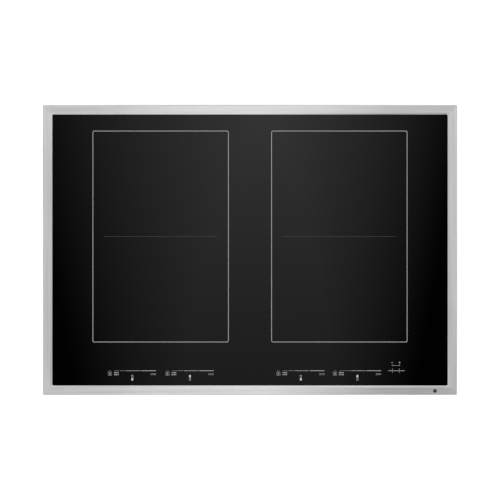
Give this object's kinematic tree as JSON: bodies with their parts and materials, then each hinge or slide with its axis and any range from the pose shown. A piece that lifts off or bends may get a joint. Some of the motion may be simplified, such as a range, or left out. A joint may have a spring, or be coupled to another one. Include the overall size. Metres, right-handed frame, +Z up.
{
  "type": "drop-in induction cooktop",
  "caption": "Drop-in electric induction cooktop: black glass panel in a steel trim over a shallow burner box with coils, electronics, fans and hold-down clamps.",
  "frame": {"origin": "middle of the worktop cut-out, on the plane of the worktop's top face, where the foam gasket's underside lies", "axes": "+X to the user's right along the long side, +Y to the rear edge, +Z up out of the glass; the touch controls are at the -Y edge"},
  "size_m": [0.784, 0.549, 0.1023],
  "materials": {
    "black_glass": "gloss",
    "brushed_steel": "brushed",
    "badge_dark": "gloss",
    "print_grey": "matt",
    "print_dark": "matt",
    "silicone": "matt",
    "foam": "matt",
    "frame_steel": "satin",
    "box_steel": "galvanised",
    "zinc": "satin",
    "plate_silver": "satin",
    "black_plastic": "satin",
    "white_plastic": "satin",
    "rubber_foot": "matt",
    "aluminium": "satin",
    "copper_litz": "satin",
    "ferrite": "matt",
    "felt": "matt",
    "mica": "satin",
    "sensor_white": "satin",
    "circuit_green": "satin",
    "component_dark": "satin",
    "spring_steel": "satin"
  },
  "bodies": {
    "root": {"board_carrier_left": "black_plastic", "board_carrier_right": "black_plastic", "board_components_left": "component_dark", "board_components_right": "component_dark", "box_floor": "box_steel", "box_walls": "box_steel", "cable_bushing": "black_plastic", "case_screws": "zinc", "clamp_brackets": "zinc", "control_board": "circuit_green", "control_carrier": "black_plastic", "control_markings": "print_grey", "deck_posts": "zinc", "deck_springs_left": "spring_steel", "deck_springs_right": "spring_steel", "fan_housing_left": "black_plastic", "fan_housing_right": "black_plastic", "fan_motor_left": "black_plastic", "fan_motor_right": "black_plastic", "filter_board": "circuit_green", "glass_panel": "black_glass", "glass_sealant": "silicone", "heat_sink_left": "aluminium", "heat_sink_right": "aluminium", "power_board_left": "circuit_green", "power_board_right": "circuit_green", "rating_plate": "plate_silver", "support_frame": "frame_steel", "support_skirt": "frame_steel", "terminal_block": "white_plastic", "touch_keys": "white_plastic", "trim_badge": "badge_dark", "trim_frame": "brushed_steel", "worktop_gasket": "foam", "zone_dividers": "print_dark", "zone_markings": "print_grey"},
    "coil_deck_left_body": {"coil_deck_left": "aluminium", "ferrite_bars_left": "ferrite", "insulation_pads_left": "felt", "mica_sheet_left": "mica", "temperature_sensors_left": "sensor_white", "coil_carrier_left_rear": "black_plastic", "coil_carrier_left_front": "black_plastic", "coil_winding_left_rear": "copper_litz", "coil_winding_left_front": "copper_litz"},
    "fan_rotor_left": {"fan_impeller_left": "black_plastic"},
    "clamp_lift_left": {"clamp_foot_left": "rubber_foot"},
    "clamp_bolt_left": {"clamp_screw_left": "zinc"},
    "coil_deck_right_body": {"coil_deck_right": "aluminium", "ferrite_bars_right": "ferrite", "insulation_pads_right": "felt", "mica_sheet_right": "mica", "temperature_sensors_right": "sensor_white", "coil_carrier_right_rear": "black_plastic", "coil_carrier_right_front": "black_plastic", "coil_winding_right_rear": "copper_litz", "coil_winding_right_front": "copper_litz"},
    "fan_rotor_right": {"fan_impeller_right": "black_plastic"},
    "clamp_lift_right": {"clamp_foot_right": "rubber_foot"},
    "clamp_bolt_right": {"clamp_screw_right": "zinc"}
  },
  "joints": [
    {"name": "fan_spin_left", "type": "hinge", "parent": "root", "child": "fan_rotor_left", "pos_m": [-0.15, 0.068, -0.075], "axis": [0, 0, 1], "continuous": true},
    {"name": "deck_float_left", "type": "slide", "parent": "root", "child": "coil_deck_left_body", "axis": [0, 0, 1], "range_m": [-0.004, 0], "stiffness_N_per_m": 9000, "springref_m": 0.006, "deforming": ["deck_springs_left"]},
    {"name": "clamp_slide_left", "type": "slide", "parent": "root", "child": "clamp_lift_left", "axis": [0, 0, 1], "range_m": [0, 0.025]},
    {"name": "clamp_turn_left", "type": "hinge", "parent": "clamp_lift_left", "child": "clamp_bolt_left", "pos_m": [-0.376, 0, -0.086], "axis": [0, 0, 1], "range_deg": [0, 9010]},
    {"name": "fan_spin_right", "type": "hinge", "parent": "root", "child": "fan_rotor_right", "pos_m": [0.15, 0.068, -0.075], "axis": [0, 0, 1], "continuous": true},
    {"name": "deck_float_right", "type": "slide", "parent": "root", "child": "coil_deck_right_body", "axis": [0, 0, 1], "range_m": [-0.004, 0], "stiffness_N_per_m": 9000, "springref_m": 0.006, "deforming": ["deck_springs_right"]},
    {"name": "clamp_slide_right", "type": "slide", "parent": "root", "child": "clamp_lift_right", "axis": [0, 0, 1], "range_m": [0, 0.025]},
    {"name": "clamp_turn_right", "type": "hinge", "parent": "clamp_lift_right", "child": "clamp_bolt_right", "pos_m": [0.376, 0, -0.086], "axis": [0, 0, 1], "range_deg": [0, 9010]}
  ],
  "couplings": [
    {"joint": "clamp_turn_left", "follows": "clamp_slide_left", "rad_per_m": 6283.2},
    {"joint": "clamp_turn_right", "follows": "clamp_slide_right", "rad_per_m": 6283.2}
  ]
}
